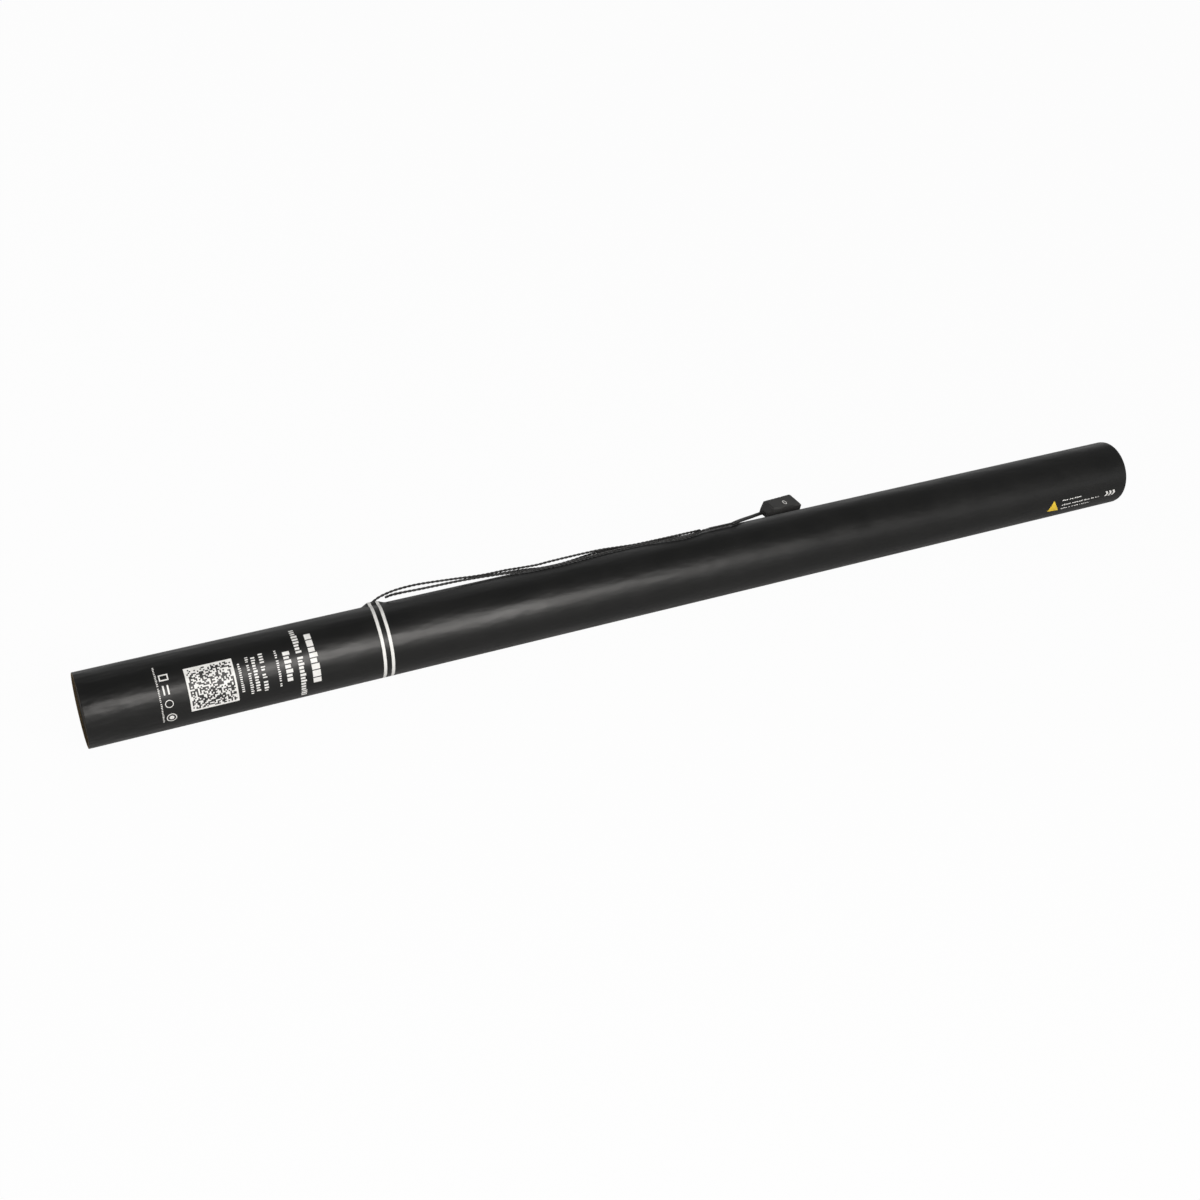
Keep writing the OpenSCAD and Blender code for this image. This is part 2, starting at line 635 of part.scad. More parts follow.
module paper_bands() color("white") place() for (i = [0 : bundle_count - 1])
    translate([first_bundle_x + i * bundle_step + (slip_len - band_w) / 2, 0, 0]) rotate([i * bundle_turn, 0, 0])
    difference() {
        translate([0, -slip_w / 2 - band_gap - band_t, -stack_h / 2 - band_gap - band_t])
            cube([band_w, slip_w + 2 * (band_gap + band_t), stack_h + 2 * (band_gap + band_t)]);
        translate([-overrun, -slip_w / 2 - band_gap, -stack_h / 2 - band_gap])
            cube([band_w + 2 * overrun, slip_w + 2 * band_gap, stack_h + 2 * band_gap]);
    }

module front_pad() color("whitesmoke") place() rod(front_pad_x, front_pad_t, sliding_r, round_fn);

module muzzle_cap() color([0.1, 0.1, 0.1]) place() {
    pipe(cap_inner_x, cap_depth, sliding_r, sliding_r - cap_wall);
    rod(tube_len, cap_rim_t, tube_r, round_fn);
}

module lead_hank() color([0.16, 0.16, 0.16]) place()
    swept_tube(hank_path, lead_d / 2, lead_sides, radial(hank_path));

module lead_tail() color([0.16, 0.16, 0.16]) place()
    swept_tube(tail_path, sleeve_d / 2, lead_sides, radial(tail_path));

// Outline that the tape is stretched over: the wrap's circle and the lead beside it
module taped_outline(grow) hull() {
    circle(r = (body_r + tape_gap + grow) / cos(180 / round_fn), $fn = round_fn);
    rotate(-lead_angle - tape_side / body_r * deg_per_rad) translate([0, body_r + tape_rise])
        circle(r = lead_d / 2 + tape_gap + grow, $fn = hull_fn);
}

// The strip of clear tape lies over the lead from the front to the back of the tube
module clear_tape() color([0.9, 0.9, 0.9, 0.4]) place() translate([tape_x, 0, 0])
    rotate([90, 0, 90]) linear_extrude(tape_w) intersection() {
        difference() {
            taped_outline(tape_t);
            taped_outline(0);
        }
        polygon(concat([[0, 0]], [for (k = [0 : 5])
            let (a = tape_from + (tape_to - tape_from) * k / 5) 2 * body_r * [sin(a), cos(a)]]));
    }

// The plug's own frame: X out of its contacts, from the middle of its rear face
module at_plug() place() translate(lead_point(plug_place)) rotate([plug_roll, plug_pitch, plug_yaw]) children();

// Half of the plug's width at x
function plug_half_w(x) = (plug_w_rear + (plug_w_front - plug_w_rear) * x / plug_len) / 2;

module plug_outline(inset) offset(r = plug_corner_r) offset(delta = -plug_corner_r - inset)
    polygon([[0, -plug_w_rear / 2], [plug_len, -plug_w_front / 2], [plug_len, plug_w_front / 2], [0, plug_w_rear / 2]]);

module plug_housing() color([0.17, 0.17, 0.17]) at_plug() difference() {
    hull() {
        translate([0, 0, -plug_h / 2 + plug_edge]) linear_extrude(plug_h - 2 * plug_edge) plug_outline(0, $fn = hull_fn);
        translate([0, 0, -plug_h / 2]) linear_extrude(plug_h) plug_outline(plug_edge, $fn = hull_fn);
    }
    for (y = [-contact_y, contact_y]) translate([0, y, 0])
        rod(plug_len - contact_len - contact_set_back, contact_len + contact_set_back + overrun, contact_r + seat_gap);
    for (k = [0 : grip_count - 1])
        translate([grip_x + k * grip_step, plug_half_w(grip_x + k * grip_step), plug_h / 2])
        cube([grip_w, 2 * grip_depth, 2 * grip_depth], center = true);
    translate([scoop_x, -plug_half_w(scoop_x) - scoop_r + scoop_depth, -plug_h])
        cylinder(h = 2 * plug_h, r = scoop_r, $fn = fine_fn);
    translate([0, 0, -cable_drop]) rod(-overrun, contact_set_back + overrun, sleeve_d / 2 + seat_gap);
}

module plug_boot() color([0.13, 0.13, 0.13]) at_plug() difference() {
    hull() {
        translate([-boot_t, -plug_w_rear / 2 + boot_inset, -plug_h / 2 + boot_inset])
            cube([boot_t, plug_w_rear - 2 * boot_inset, plug_h - 2 * boot_inset]);
        translate([-boot_len, -boot_tip_w / 2, -cable_drop - boot_tip_h / 2])
            cube([boot_t, boot_tip_w, boot_tip_h]);
    }
    translate([0, 0, -cable_drop]) rod(-boot_len - overrun, boot_len + 2 * overrun, sleeve_d / 2 + seat_gap);
}

module plug_contacts() color("gold") at_plug() for (y = [-contact_y, contact_y]) translate([0, y, 0])
    difference() {
        rod(plug_len - contact_len - contact_set_back, contact_len, contact_r);
        rod(plug_len - contact_len - contact_set_back + contact_r, contact_len, contact_bore_r);
    }

barrel_tube();
outer_wrap();
breech_plug();
bottle_pad();
gas_bottle();
bottle_collar();
valve_body();
valve_gasket();
valve_seat();
valve_plunger();
plunger_ring();
trigger_yoke();
yoke_screws();
sear_lever();
pivot_pin();
lever_spring();
trigger_board();
board_screws();
heater();
fuse_thread();
thread_loop();
terminal_block();
inner_lead();
exit_glue();
baffle_disc();
wad();
slips(0);  // green_slips
slips(1);  // red_slips
slips(2);  // purple_slips
slips(3);  // gold_slips
slips(4);  // steel_slips
slips(5);  // blue_slips
slips(6);  // silver_slips
paper_bands();
front_pad();
muzzle_cap();
lead_hank();
clear_tape();
lead_tail();
plug_boot();
plug_housing();
plug_contacts();
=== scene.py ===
import bpy
import json
import math
import random
from mathutils import Matrix, Vector


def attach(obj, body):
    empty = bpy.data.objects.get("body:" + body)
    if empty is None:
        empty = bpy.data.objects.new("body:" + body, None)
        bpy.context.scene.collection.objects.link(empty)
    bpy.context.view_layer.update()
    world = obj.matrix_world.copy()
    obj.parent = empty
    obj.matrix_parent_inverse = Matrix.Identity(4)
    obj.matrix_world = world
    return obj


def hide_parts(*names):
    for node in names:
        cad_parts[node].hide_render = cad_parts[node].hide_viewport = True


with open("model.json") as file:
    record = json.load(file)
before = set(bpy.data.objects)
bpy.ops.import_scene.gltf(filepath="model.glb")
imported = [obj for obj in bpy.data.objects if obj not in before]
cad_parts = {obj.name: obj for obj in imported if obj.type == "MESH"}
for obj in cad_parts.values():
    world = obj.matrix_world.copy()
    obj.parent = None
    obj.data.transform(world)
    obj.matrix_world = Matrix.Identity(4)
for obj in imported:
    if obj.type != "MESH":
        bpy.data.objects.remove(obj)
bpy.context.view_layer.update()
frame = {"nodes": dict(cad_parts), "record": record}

MM = 0.001

# Sizes in millimetres, as in the model's source; t is the distance from the breech
HALF = 400.0
R_WRAP = 24.25
R_TUBE = 24.0
R_BORE = 22.75
T_END = 799.0
LEAD_D = 1.6
SLEEVE_D = 2.6
LEAD_ANGLE = math.radians(31)
# One millimetre round the wrap, in degrees
MM_DEG = math.degrees(1 / R_WRAP)

# ---------------------------------------------------------------- camera

# Solved from the photo, which is PHOTO_PX wide; FOCAL_PX is in its pixels
CAMERA_AT = (-0.45720, -0.87655, 0.57826)
SENSOR_MM, FOCAL_PX, PHOTO_PX = 36.0, 1600.12, 1200.0

right = Vector((0.90539, -0.42458, 0.0)).normalized()
up = Vector((0.21326, 0.45477, 0.86471)).normalized()
back = right.cross(up)
up = back.cross(right)
cam = bpy.data.objects.new("camera", bpy.data.cameras.new("camera"))
bpy.context.scene.collection.objects.link(cam)
cam.data.sensor_width = SENSOR_MM
cam.data.lens = SENSOR_MM * FOCAL_PX / PHOTO_PX
cam.data.clip_start = 0.01
cam.matrix_world = Matrix([(right[i], up[i], back[i], CAMERA_AT[i]) for i in range(3)]
                          + [(0, 0, 0, 1)])
bpy.context.scene.camera = cam

# ---------------------------------------------------------------- helpers


def on_tube(t, angle, r):
    """A point at t along the tube, angle from the top towards the back, radius r."""
    return Vector(((t - HALF) * MM, r * math.sin(angle) * MM, (R_WRAP + r * math.cos(angle)) * MM))


def lead_point(p):
    """A point given by t, the way across the lead's line and the height over the wrap."""
    return on_tube(p[0], LEAD_ANGLE + p[1] / R_WRAP, R_WRAP + p[2])


def mesh_piece(name, verts, faces, smooth=True):
    mesh = bpy.data.meshes.new(name)
    mesh.from_pydata([tuple(v) for v in verts], [], faces)
    mesh.validate()
    mesh.update()
    for poly in mesh.polygons:
        poly.use_smooth = smooth
    ob = bpy.data.objects.new(name, mesh)
    bpy.context.scene.collection.objects.link(ob)
    return ob


def put(piece, body, slot, material, *replaced):
    """Give a piece its body and material, in place of the CAD parts named; the slot is not used."""
    piece.data.materials.clear()
    piece.data.materials.append(material)
    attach(piece, body)
    if replaced:
        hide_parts(*replaced)
    return piece


def grid_faces(rows, cols, close_cols=False, flip=False):
    faces = []
    for i in range(rows - 1):
        for j in range(cols if close_cols else cols - 1):
            a, b = i * cols + j, i * cols + (j + 1) % cols
            quad = (a, b, b + cols, a + cols)
            faces.append(quad[::-1] if flip else quad)
    return faces


def shifted(faces, start):
    return [tuple(start + v for v in f) for f in faces]


def spline(a, b, c, d, u):
    return 0.5 * (2 * b + (c - a) * u + (2 * a - 5 * b + 4 * c - d) * u * u
                  + (3 * b - a - 3 * c + d) * u ** 3)


def smooth_path(points, step):
    out = []
    last = len(points) - 1
    for i in range(last):
        a, b = points[max(i - 1, 0)], points[i]
        c, d = points[i + 1], points[min(i + 2, last)]
        count = max(1, math.ceil((c - b).length / step))
        out += [spline(a, b, c, d, k / count) for k in range(count)]
    return out + [points[last]]


def run_lengths(path):
    s = [0.0]
    for a, b in zip(path, path[1:]):
        s.append(s[-1] + (b - a).length)
    return s


def carried_frames(path):
    """Two axes square to the path at each point, carried along it without twist."""
    out = []
    side = None
    for i, p in enumerate(path):
        along = (path[min(i + 1, len(path) - 1)] - path[max(i - 1, 0)]).normalized()
        if side is None:
            side = along.orthogonal().normalized()
        side = (side - along * side.dot(along)).normalized()
        out.append((side.copy(), along.cross(side)))
    return out


def twisted_pair(name, path, wire_d, pitch, sides=8, apart=0.3):
    """Two round wires twisted about the path, as one mesh; apart counts in wire diameters."""
    s = run_lengths(path)
    frames = carried_frames(path)
    verts, faces = [], []
    for wire in range(2):
        start = len(verts)
        for p, length, (e1, e2) in zip(path, s, frames):
            turn = math.tau * length / pitch + wire * math.pi
            out = e1 * math.cos(turn) + e2 * math.sin(turn)
            centre = p + out * wire_d * apart
            for k in range(sides):
                a = math.tau * k / sides
                verts.append(centre + (e1 * math.cos(a) + e2 * math.sin(a)) * wire_d / 2)
        faces += shifted(grid_faces(len(path), sides, True), start)
        faces.append(tuple(start + k for k in reversed(range(sides))))
        faces.append(tuple(start + (len(path) - 1) * sides + k for k in range(sides)))
    return mesh_piece(name, verts, faces)


def round_tube(name, path, diameter, sides=14, end_share=0.82):
    """A plain round sleeve along the path, with its ends drawn in a little."""
    frames = carried_frames(path)
    verts = []
    for i, (p, (e1, e2)) in enumerate(zip(path, frames)):
        r = diameter / 2 * (end_share if i in (0, len(path) - 1) else 1.0)
        for k in range(sides):
            a = math.tau * k / sides
            verts.append(p + (e1 * math.cos(a) + e2 * math.sin(a)) * r)
    faces = grid_faces(len(path), sides, True)
    faces.append(tuple(reversed(range(sides))))
    faces.append(tuple((len(path) - 1) * sides + k for k in range(sides)))
    return mesh_piece(name, verts, faces)


# ---------------------------------------------------------------- materials


def shader(name, **settings):
    m = bpy.data.materials.new(name)
    m.use_nodes = True
    bsdf = m.node_tree.nodes["Principled BSDF"]
    for key, value in settings.items():
        bsdf.inputs[key.replace("_", " ")].default_value = value
    return m, m.node_tree.nodes, m.node_tree.links, bsdf


def texture_input(nodes, links, scale):
    coords = nodes.new("ShaderNodeTexCoord")
    mapping = nodes.new("ShaderNodeMapping")
    mapping.inputs["Scale"].default_value = scale
    links.new(coords.outputs["Object"], mapping.inputs["Vector"])
    return mapping.outputs["Vector"]


def noise(nodes, links, vector, scale, detail=4.0, rough=0.55):
    n = nodes.new("ShaderNodeTexNoise")
    n.inputs["Scale"].default_value = scale
    n.inputs["Detail"].default_value = detail
    n.inputs["Roughness"].default_value = rough
    links.new(vector, n.inputs["Vector"])
    return n.outputs["Fac"]


def remap(nodes, links, value, low, high, from_low=0.3, from_high=0.7):
    r = nodes.new("ShaderNodeMapRange")
    r.inputs["From Min"].default_value = from_low
    r.inputs["From Max"].default_value = from_high
    r.inputs["To Min"].default_value = low
    r.inputs["To Max"].default_value = high
    links.new(value, r.inputs["Value"])
    return r.outputs["Result"]


def ramp(nodes, links, value, low, high, a=0.3, b=0.7):
    r = nodes.new("ShaderNodeValToRGB")
    r.color_ramp.elements[0].position = a
    r.color_ramp.elements[0].color = (*low, 1)
    r.color_ramp.elements[1].position = b
    r.color_ramp.elements[1].color = (*high, 1)
    links.new(value, r.inputs["Fac"])
    return r.outputs["Color"]


def calc(nodes, links, operation, *values):
    """A Math node, whose values are numbers or other nodes' outputs."""
    n = nodes.new("ShaderNodeMath")
    n.operation = operation
    for socket, value in zip(n.inputs, values):
        if isinstance(value, bpy.types.NodeSocket):
            links.new(value, socket)
        else:
            socket.default_value = value
    return n.outputs[0]


def axes(nodes, links, vector):
    split = nodes.new("ShaderNodeSeparateXYZ")
    links.new(vector, split.inputs["Vector"])
    return split.outputs


def bump(nodes, links, target, height, strength, distance):
    """A bump on the normal of target, which is a shader or another bump."""
    b = nodes.new("ShaderNodeBump")
    b.inputs["Strength"].default_value = strength
    b.inputs["Distance"].default_value = distance
    links.new(height, b.inputs["Height"])
    links.new(b.outputs["Normal"], target.inputs["Normal"])
    return b


def varied(name, low, high, rough=(0.4, 0.5), scale=60.0, stretch=(1, 1, 1), fine=900.0,
           depth=0.00003, strength=0.3, **settings):
    """A material whose colour and gloss vary a little, with a fine grain."""
    m, nodes, links, bsdf = shader(name, **settings)
    vector = texture_input(nodes, links, stretch)
    broad = noise(nodes, links, vector, scale)
    grain = noise(nodes, links, vector, fine, 2.0)
    links.new(ramp(nodes, links, broad, low, high), bsdf.inputs["Base Color"])
    links.new(remap(nodes, links, broad, *rough), bsdf.inputs["Roughness"])
    bump(nodes, links, bsdf, grain, strength, depth)
    return m


# The wrap's waves are this much higher up to the first X, and as elsewhere from the second on
BREECH_WAVES, BREECH_X = 2.1, (-0.39, -0.31)


def wrap_material():
    """Black satin print on paper, with soft long waves and faint scuffs."""
    m, nodes, links, bsdf = shader("wrap_print", Specular_IOR_Level=0.38)
    long_vector = texture_input(nodes, links, (1.0, 3.0, 3.0))
    wide = noise(nodes, links, long_vector, 16.0, 3.0)
    plain_vector = texture_input(nodes, links, (1, 1, 1))
    cloud = noise(nodes, links, plain_vector, 34.0, 4.0, 0.6)
    grain = noise(nodes, links, plain_vector, 2200.0, 2.0)
    links.new(ramp(nodes, links, cloud, (0.003, 0.0032, 0.003), (0.0052, 0.0053, 0.005)),
              bsdf.inputs["Base Color"])
    links.new(remap(nodes, links, cloud, 0.35, 0.45), bsdf.inputs["Roughness"])
    along = axes(nodes, links, plain_vector)["X"]
    growth = remap(nodes, links, along, BREECH_WAVES, 1.0, *BREECH_X)
    fine = bump(nodes, links, bsdf, grain, 0.12, 0.00004)
    bump(nodes, links, fine, calc(nodes, links, "MULTIPLY", wide, growth), 0.5, 0.0022)
    return m


def radial_distance(nodes, links):
    """Distance from the tube's axis, in metres."""
    coords = nodes.new("ShaderNodeTexCoord")
    place = axes(nodes, links, coords.outputs["Object"])
    radial = nodes.new("ShaderNodeCombineXYZ")
    links.new(place["Y"], radial.inputs["X"])
    links.new(calc(nodes, links, "SUBTRACT", place["Z"], R_WRAP * MM), radial.inputs["Y"])
    length = nodes.new("ShaderNodeVectorMath")
    length.operation = "LENGTH"
    links.new(radial.outputs["Vector"], length.inputs[0])
    return length.outputs["Value"]


# Thickness of one layer of the wound cardboard, in metres
LAYER = 0.00021


def board_material():
    """Brown cardboard, wound in layers that show on the cut ends."""
    m, nodes, links, bsdf = shader("tube_board", Specular_IOR_Level=0.25)
    layers = calc(nodes, links, "PINGPONG", radial_distance(nodes, links), LAYER)
    share = calc(nodes, links, "MULTIPLY", layers, 1 / LAYER)
    vector = texture_input(nodes, links, (1, 1, 1))
    fibres = noise(nodes, links, vector, 700.0, 6.0, 0.7)
    mix = calc(nodes, links, "MULTIPLY_ADD", share, 0.45, fibres)
    links.new(ramp(nodes, links, mix, (0.085, 0.06, 0.032), (0.3, 0.22, 0.125), 0.3, 1.1),
              bsdf.inputs["Base Color"])
    links.new(remap(nodes, links, fibres, 0.75, 0.95), bsdf.inputs["Roughness"])
    bump(nodes, links, bsdf, mix, 0.6, 0.00008)
    return m


def foil(name, low, high):
    return varied(name, low, high, rough=(0.16, 0.3), scale=120.0, fine=420.0, depth=0.00012,
                  strength=0.5, Metallic=0.85, Coat_Weight=0.3, Coat_Roughness=0.1)


def tape_material():
    """Clear film, almost unseen on the wrap; its grey shows more where it stands off over the lead,
    a painted sheen of the lifted film.
    """
    m, nodes, links, bsdf = shader("clear_film", IOR=1.45, Specular_IOR_Level=0.3)
    vector = texture_input(nodes, links, (1, 1, 1))
    cloud = noise(nodes, links, vector, 160.0, 3.0)
    links.new(ramp(nodes, links, cloud, (0.025, 0.025, 0.024), (0.04, 0.04, 0.038)),
              bsdf.inputs["Base Color"])
    links.new(remap(nodes, links, cloud, 0.25, 0.4), bsdf.inputs["Roughness"])
    # Opacity rises with the film's height over the wrap: painted sheen where it stands off over the
    # lead
    links.new(remap(nodes, links, radial_distance(nodes, links), 0.012, 0.5, (R_WRAP + 0.45) * MM,
                    (R_WRAP + 1.9) * MM), bsdf.inputs["Alpha"])
    bump(nodes, links, bsdf, noise(nodes, links, vector, 420.0, 2.0), 0.3, 0.0001)
    return m


MAT = {
    "wrap": wrap_material(),
    "tube_paper": board_material(),
    "black_plastic": varied("black_plastic", (0.012, 0.012, 0.012), (0.02, 0.02, 0.02), (0.6, 0.75),
                            Specular_IOR_Level=0.15),
    "pale_plastic": varied("pale_plastic", (0.6, 0.6, 0.56), (0.72, 0.72, 0.68), (0.35, 0.5)),
    "rubber": varied("rubber", (0.012, 0.012, 0.012), (0.022, 0.022, 0.022), (0.6, 0.75),
                     fine=1500.0),
    "bottle": varied("bottle_metal", (0.6, 0.6, 0.61), (0.67, 0.67, 0.68), (0.28, 0.36),
                     stretch=(30, 1, 1), fine=60.0, strength=0.2, Metallic=1.0),
    "brass": varied("brass", (0.56, 0.4, 0.13), (0.61, 0.44, 0.15), (0.27, 0.34),
                    stretch=(30, 1, 1), fine=60.0, strength=0.12, Metallic=1.0),
    "steel": varied("steel", (0.42, 0.42, 0.43), (0.58, 0.58, 0.6), (0.25, 0.4),
                    stretch=(20, 1, 1), fine=80.0, Metallic=1.0),
    "board": varied("circuit_board", (0.012, 0.11, 0.035), (0.02, 0.17, 0.06), (0.25, 0.4)),
    "ceramic": varied("ceramic", (0.36, 0.27, 0.16), (0.46, 0.36, 0.22), (0.4, 0.6)),
    "thread": varied("thread", (0.62, 0.62, 0.55), (0.74, 0.74, 0.68), (0.5, 0.7)),
    "glue": varied("glue", (0.45, 0.41, 0.28), (0.58, 0.54, 0.4), (0.2, 0.35), Coat_Weight=0.4),
    "felt": varied("felt", (0.2, 0.2, 0.2), (0.38, 0.38, 0.38), (0.9, 1.0), scale=300.0,
                   fine=1400.0, depth=0.0003, strength=0.9, Sheen_Weight=0.4),
    "tissue": varied("tissue", (0.62, 0.62, 0.6), (0.78, 0.78, 0.76), (0.8, 0.95), scale=90.0,
                     fine=260.0, depth=0.0005, strength=0.6),
    "foil_green": foil("foil_green", (0.0, 0.17, 0.06), (0.01, 0.36, 0.13)),
    "foil_red": foil("foil_red", (0.26, 0.004, 0.016), (0.52, 0.012, 0.04)),
    "foil_purple": foil("foil_purple", (0.06, 0.006, 0.18), (0.14, 0.015, 0.36)),
    "foil_gold": foil("foil_gold", (0.42, 0.33, 0.02), (0.68, 0.6, 0.08)),
    "foil_steel": foil("foil_steel", (0.2, 0.3, 0.42), (0.34, 0.46, 0.6)),
    "foil_blue": foil("foil_blue", (0.01, 0.04, 0.3), (0.02, 0.08, 0.55)),
    "foil_silver": foil("foil_silver", (0.5, 0.5, 0.52), (0.72, 0.72, 0.74)),
    "lead": varied("lead_sheath", (0.008, 0.008, 0.008), (0.016, 0.016, 0.016), (0.34, 0.5),
                   scale=300.0, fine=2500.0),
    "tape": tape_material(),
    "plug_plastic": varied("plug_plastic", (0.035, 0.035, 0.035), (0.047, 0.047, 0.046),
                           (0.42, 0.56), fine=2600.0, depth=0.00005, strength=0.4,
                           Specular_IOR_Level=0.25),
    "gold": varied("gold_plate", (0.7, 0.48, 0.14), (0.85, 0.62, 0.24), (0.15, 0.28), Metallic=1.0),
}
INK_LOOK = {"rough": (0.4, 0.5), "scale": 260.0, "fine": 1800.0}
WHITE_INK = varied("white_ink", (0.72, 0.72, 0.7), (0.84, 0.84, 0.82), **INK_LOOK)
BLACK_INK = varied("black_ink", (0.012, 0.012, 0.012), (0.018, 0.018, 0.018), **INK_LOOK)
YELLOW_INK = varied("yellow_ink", (0.74, 0.5, 0.03), (0.84, 0.6, 0.045), **INK_LOOK)

for part in frame["record"]["subparts"]:
    ob = frame["nodes"][part["node"]]
    ob.data.materials.clear()
    slot = "plug_plastic" if part["node"] == "plug_boot" else part["material_slot"]
    ob.data.materials.append(MAT[slot])

# ---------------------------------------------------------------- lead

# The lead's route outside the tube, for lead_point: the folded bundle and the sleeved free end
HANK = [(195.5, 0, 2.4), (199.5, 0, 4.1), (206, 0, 5.6), (212, 0, 6.4), (219, 0, 6.8),
        (227, 0, 6.8), (236, 0, 6.3), (247, 0, 5.5), (257, 0, 4.7), (266, 0, 3.9),
        (276, 0, 3.4), (289, 0, 3.3), (300, 0, 2.7), (312, 0, 2.2), (321, 0.3, 2.5),
        (330, 0.5, 2.7), (345, 1, 2.9), (361, 1, 2.8), (375, 1, 1.9), (387, 0, 1.1),
        (400, -1, 1), (418, -1.4, 1), (430, -0.2, 1), (436.4, 0.1, 1), (439.4, 1.3, 1),
        (440.6, 4.3, 1), (439.4, 7.3, 1), (436.4, 8.5, 1), (428, 8.5, 1), (405, 6.4, 1),
        (387, 5.5, 1), (373, 5, 1.6), (361, 4.6, 2), (352, 5.2, 1.7), (341, 7.4, 1.1),
        (330, 9, 1), (318, 8.4, 1), (308, 6, 1.3), (300, 4.8, 1.7), (289, 4.6, 2.2),
        (275, 4.8, 2.8), (264, 5, 3.4), (254, 5, 3.7), (242, 5, 3.8), (231, 5, 4),
        (219, 5.1, 4.3), (213, 5.2, 4.3), (208.3, 5.1, 4.2), (205.3, 3.9, 3.6), (204.1, 1, 3.1),
        (205.3, -2, 3.5), (208.3, -3.2, 4.1), (212, -3.3, 4.1), (218, -3.2, 3.9), (226, -3, 3.6),
        (247, -3, 3.4), (263, -3, 2.9), (275, -3.2, 2.2), (289, -5, 1.4), (305, -8.2, 1),
        (328, -9.2, 1), (345, -7.6, 1), (361, -5.8, 1), (387, -5.2, 1), (403, -8, 1),
        (418, -11.2, 1), (430, -9.6, 1), (437, -7, 1.2), (440, -6.5, 1.3), (443, -6.5, 1.3),
        (449, -6.5, 1.3), (455, -6.5, 1.3), (461.5, -6.5, 1.35)]
TAIL = [(464, -6.1, 1.5), (468.7, -3.4, 1.5), (476.5, 1.2, 1.9), (484.2, 5.3, 3), (491.3, 8.5, 4.7)]
# The plug's place for lead_point, and its turns
PLUG_AT = (502.6, 10, 7.8)
YAW, PITCH, ROLL = math.radians(9.5), math.radians(6), math.radians(10.5)
# The boot's length, the lead's straight run and gap behind it, and its drop below the axis
BOOT_LEN, STRAIGHT, SEAT_GAP, CABLE_DROP = 3.4, 1.0, 0.1, 2.4
# Each wire's diameter as a share of the pair's, the twist's pitch and the step between points
WIRE_SHARE, TWIST_PITCH, LEAD_STEP = 0.68, 6.5, 1.3
plug_turn = (Matrix.Rotation(YAW, 4, "Z") @ Matrix.Rotation(PITCH, 4, "Y")
             @ Matrix.Rotation(ROLL, 4, "X"))
plug_frame = Matrix.Translation(lead_point(PLUG_AT)) @ plug_turn
plug_dir = plug_turn @ Vector((1, 0, 0))
plug_up = plug_turn @ Vector((0, 0, 1))
ends = [lead_point(PLUG_AT) - plug_dir * b * MM - plug_up * CABLE_DROP * MM
        for b in (BOOT_LEN + 2 * STRAIGHT, BOOT_LEN + SEAT_GAP, 0)]
lead_path = smooth_path([lead_point(p) for p in HANK + TAIL] + ends, LEAD_STEP * MM)
lead = put(twisted_pair("firing_lead", lead_path, LEAD_D * WIRE_SHARE * MM, TWIST_PITCH * MM),
           "barrel", "lead", MAT["lead"], "lead_hank")
sleeve_from = lead_point(HANK[-1])
sleeve_start = min(range(len(lead_path)), key=lambda i: (lead_path[i] - sleeve_from).length)
sleeve = put(round_tube("lead_sleeve", lead_path[sleeve_start:-1], SLEEVE_D * MM),
             "barrel", "lead", MAT["lead"], "lead_tail")

# ---------------------------------------------------------------- wrap


# The wrap's hump over the lead's way out: its height, half its width and where it rises and falls
HUMP_H, HUMP_HALF_W, HUMP_UP, HUMP_DOWN = 2.15, 5.6, (185.5, 191.2), (195.5, 203)
# The wrap's cut ends are rounded over this length and drawn in by this much
END_LEN, END_DROP = 0.25, 0.12
# The wrap is this far clear of the tube inside it
SKIN_GAP = 0.001


def smoothstep(a, b, x):
    u = min(max((x - a) / (b - a), 0.0), 1.0)
    return u * u * (3 - 2 * u)


def hump(t, angle):
    """Rise of the wrap over the lead's way out."""
    side = (angle - LEAD_ANGLE) * R_WRAP / HUMP_HALF_W
    if abs(side) >= 1:
        return 0.0
    rise = smoothstep(*HUMP_UP, t) * (1 - smoothstep(*HUMP_DOWN, t)) * HUMP_H
    return rise * (1 - side * side) ** 1.5


def wrap_r(t, angle):
    return R_WRAP + hump(t, angle)


def wrap_skin():
    """The wrap's skin, with finer rows and columns over the hump."""
    # Rows are 8 mm apart, 0.5 mm from 184 to 205, and closer at the cut ends
    ts = [0.0, END_LEN, 0.6]
    ts += [8 * k for k in range(1, 23)] + [184 + 0.5 * k for k in range(43)]
    ts += [212 + 8 * k for k in range(73)] + [792, 798.4, 798.75, 799]
    ts = sorted(set(round(t, 3) for t in ts))
    # Columns are 3 degrees apart, and 0.75 apart within 15 degrees of the lead
    lead_deg = math.degrees(LEAD_ANGLE)
    angles = [math.radians(a) for a in sorted(set(
        [round(lead_deg - 15 + 0.75 * k, 3) for k in range(41)]
        + [round(lead_deg + 15 + 3 * k, 3) for k in range(1, 111)]))]
    verts = []
    for t in ts:
        edge = END_DROP * (1 - min(min(t, T_END - t) / END_LEN, 1.0))
        verts += [on_tube(t, a, wrap_r(t, a) - edge) for a in angles]
    outer = len(verts)
    for t in (T_END, 0.0):
        verts += [on_tube(t, a, R_TUBE + SKIN_GAP) for a in angles]
    n = len(angles)
    faces = grid_faces(len(ts), n, True, flip=True)
    last = (len(ts) - 1) * n
    for j in range(n):
        k = (j + 1) % n
        faces.append((last + k, last + j, outer + j, outer + k))
        faces.append((outer + j, outer + n + j, outer + n + k, outer + k)[::-1])
        faces.append((outer + n + k, outer + n + j, j, k))
    return mesh_piece("printed_wrap", verts, faces)


put(wrap_skin(), "barrel", "wrap", MAT["wrap"], "outer_wrap")

# ---------------------------------------------------------------- print


# Where under the tube the rings lean forward, as an angle from the top
UNDER_ANGLE = math.radians(-150)
